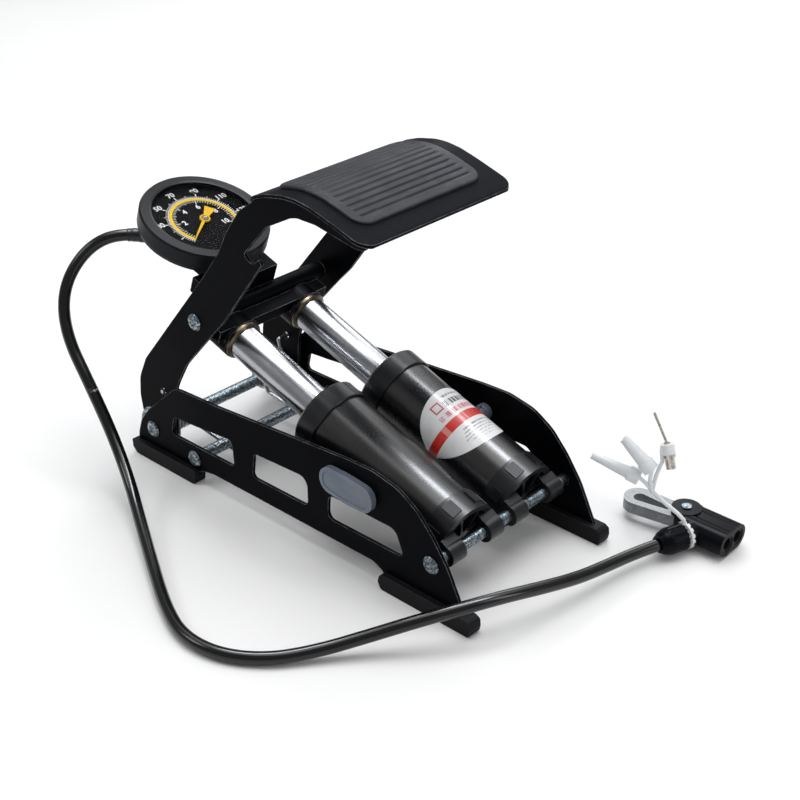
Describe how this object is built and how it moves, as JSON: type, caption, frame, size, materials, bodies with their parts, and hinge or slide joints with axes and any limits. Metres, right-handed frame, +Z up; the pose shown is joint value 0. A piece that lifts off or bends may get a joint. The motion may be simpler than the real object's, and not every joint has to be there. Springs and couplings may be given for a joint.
{
  "type": "foot air pump",
  "caption": "Twin-barrel foot pump: sprung pedal lever over a low frame, two pivoted pump barrels, dial gauge, air hose and valve chuck with adapters.",
  "frame": {"origin": "on the floor under the middle of the pump, its hose and chuck left out", "axes": "+X from the rear pivot towards the barrels' pivot rod, +Y towards the pump's right side, +Z up"},
  "size_m": [0.3854, 0.2885, 0.22],
  "materials": {
    "black_paint": "satin black powder coat",
    "zinc_rod": "blue-white zinc plate",
    "spring_steel": "zinc plated wire",
    "rubber_black": "matt black rubber",
    "pad_rubber": "dark grey ribbed rubber",
    "badge_grey": "satin grey plastic",
    "barrel_black": "satin black",
    "plastic_black": "satin black moulded plastic",
    "chrome_tube": "chrome plated",
    "label_print": "printed plastic film",
    "valve_rubber": "oiled rubber",
    "brass_parts": "machined brass",
    "bezel_plastic": "satin dark grey",
    "dial_black": "matt black print",
    "needle_yellow": "yellow enamel",
    "lens_clear": "clear",
    "hose_rubber": "smooth glossy black hose",
    "ring_white": "white plastic",
    "lever_grey": "translucent grey plastic",
    "strap_white": "milky white plastic",
    "needle_metal": "nickel plated"
  },
  "bodies": {
    "base": {"left_side_plate": "black_paint", "right_side_plate": "black_paint", "rear_pivot_axle": "zinc_rod", "rear_cross_rod": "zinc_rod", "front_pivot_rod": "zinc_rod", "axle_washers": "zinc_rod", "left_front_foot": "rubber_black", "left_rear_foot": "rubber_black", "right_front_foot": "rubber_black", "right_rear_foot": "rubber_black", "left_badge": "badge_grey", "right_badge": "badge_grey", "left_return_spring": "spring_steel", "right_return_spring": "spring_steel", "air_hose": "hose_rubber", "hose_nut": "plastic_black", "hose_nut_ring": "ring_white", "chuck_body": "plastic_black", "chuck_seals": "valve_rubber", "chuck_valve_pins": "brass_parts", "chuck_lever_pin": "zinc_rod", "adapter_strap": "strap_white", "long_nozzle": "strap_white", "short_nozzle": "strap_white", "ball_needle": "needle_metal"},
    "left_pump_barrel": {"left_barrel": "barrel_black", "left_collar_cap": "plastic_black", "left_guide_bush": "plastic_black", "left_end_cap": "plastic_black", "left_inlet_flap": "valve_rubber"},
    "right_pump_barrel": {"right_barrel": "barrel_black", "right_collar_cap": "plastic_black", "right_guide_bush": "plastic_black", "right_end_cap": "plastic_black", "right_inlet_flap": "valve_rubber", "barrel_label": "label_print"},
    "cross_beam": {"manifold_block": "black_paint", "tube_collars": "brass_parts", "left_piston_tube": "chrome_tube", "right_piston_tube": "chrome_tube", "left_piston": "plastic_black", "right_piston": "plastic_black", "piston_seals": "valve_rubber", "check_valve_balls": "zinc_rod", "gauge_housing": "bezel_plastic", "gauge_bezel": "bezel_plastic", "gauge_dial": "dial_black", "gauge_lens": "lens_clear", "gauge_movement": "brass_parts", "hose_fitting": "plastic_black"},
    "pedal_lever": {"left_lever_arm": "black_paint", "right_lever_arm": "black_paint", "pedal_plate": "black_paint", "pedal_pad": "pad_rubber", "upper_pivot_rod": "zinc_rod"},
    "needle": {"gauge_needle": "needle_yellow"},
    "thumb_lever": {"chuck_lever": "lever_grey"}
  },
  "joints": [
    {"name": "left_barrel_pivot", "type": "hinge", "parent": "base", "child": "left_pump_barrel", "pos_m": [0.1162, -0.0275, 0.0318], "axis": [0, 1, 0], "range_deg": [-7.6, 0.05]},
    {"name": "right_barrel_pivot", "type": "hinge", "parent": "base", "child": "right_pump_barrel", "pos_m": [0.1162, 0.0275, 0.0318], "axis": [0, 1, 0], "range_deg": [-7.6, 0.05]},
    {"name": "piston_stroke", "type": "slide", "parent": "left_pump_barrel", "child": "cross_beam", "axis": [0.9445, 0, -0.3284], "range_m": [-0.0003, 0.0565]},
    {"name": "pedal_press", "type": "hinge", "parent": "cross_beam", "child": "pedal_lever", "pos_m": [-0.0797, 0, 0.1105], "axis": [0, 1, 0], "range_deg": [0, 43.44], "stiffness_Nm_per_rad": 2, "springref_deg": -60.16, "deforming": ["left_return_spring", "right_return_spring", "air_hose"]},
    {"name": "gauge_needle_sweep", "type": "hinge", "parent": "cross_beam", "child": "needle", "pos_m": [-0.11488, -0.017, 0.14179], "axis": [-0.3284, 0, -0.9445], "range_deg": [0, 248], "stiffness_Nm_per_rad": 0.002},
    {"name": "thumb_lever_flip", "type": "hinge", "parent": "base", "child": "thumb_lever", "pos_m": [0.1758, 0.102, 0.0096], "axis": [0, 0, -1], "range_deg": [0, 85]}
  ],
  "couplings": [
    {"joint": "left_barrel_pivot", "follows": "pedal_press", "ratio": -0.17127},
    {"joint": "right_barrel_pivot", "follows": "pedal_press", "ratio": -0.17127},
    {"joint": "piston_stroke", "follows": "pedal_press", "m_per_rad": 0.073809}
  ]
}
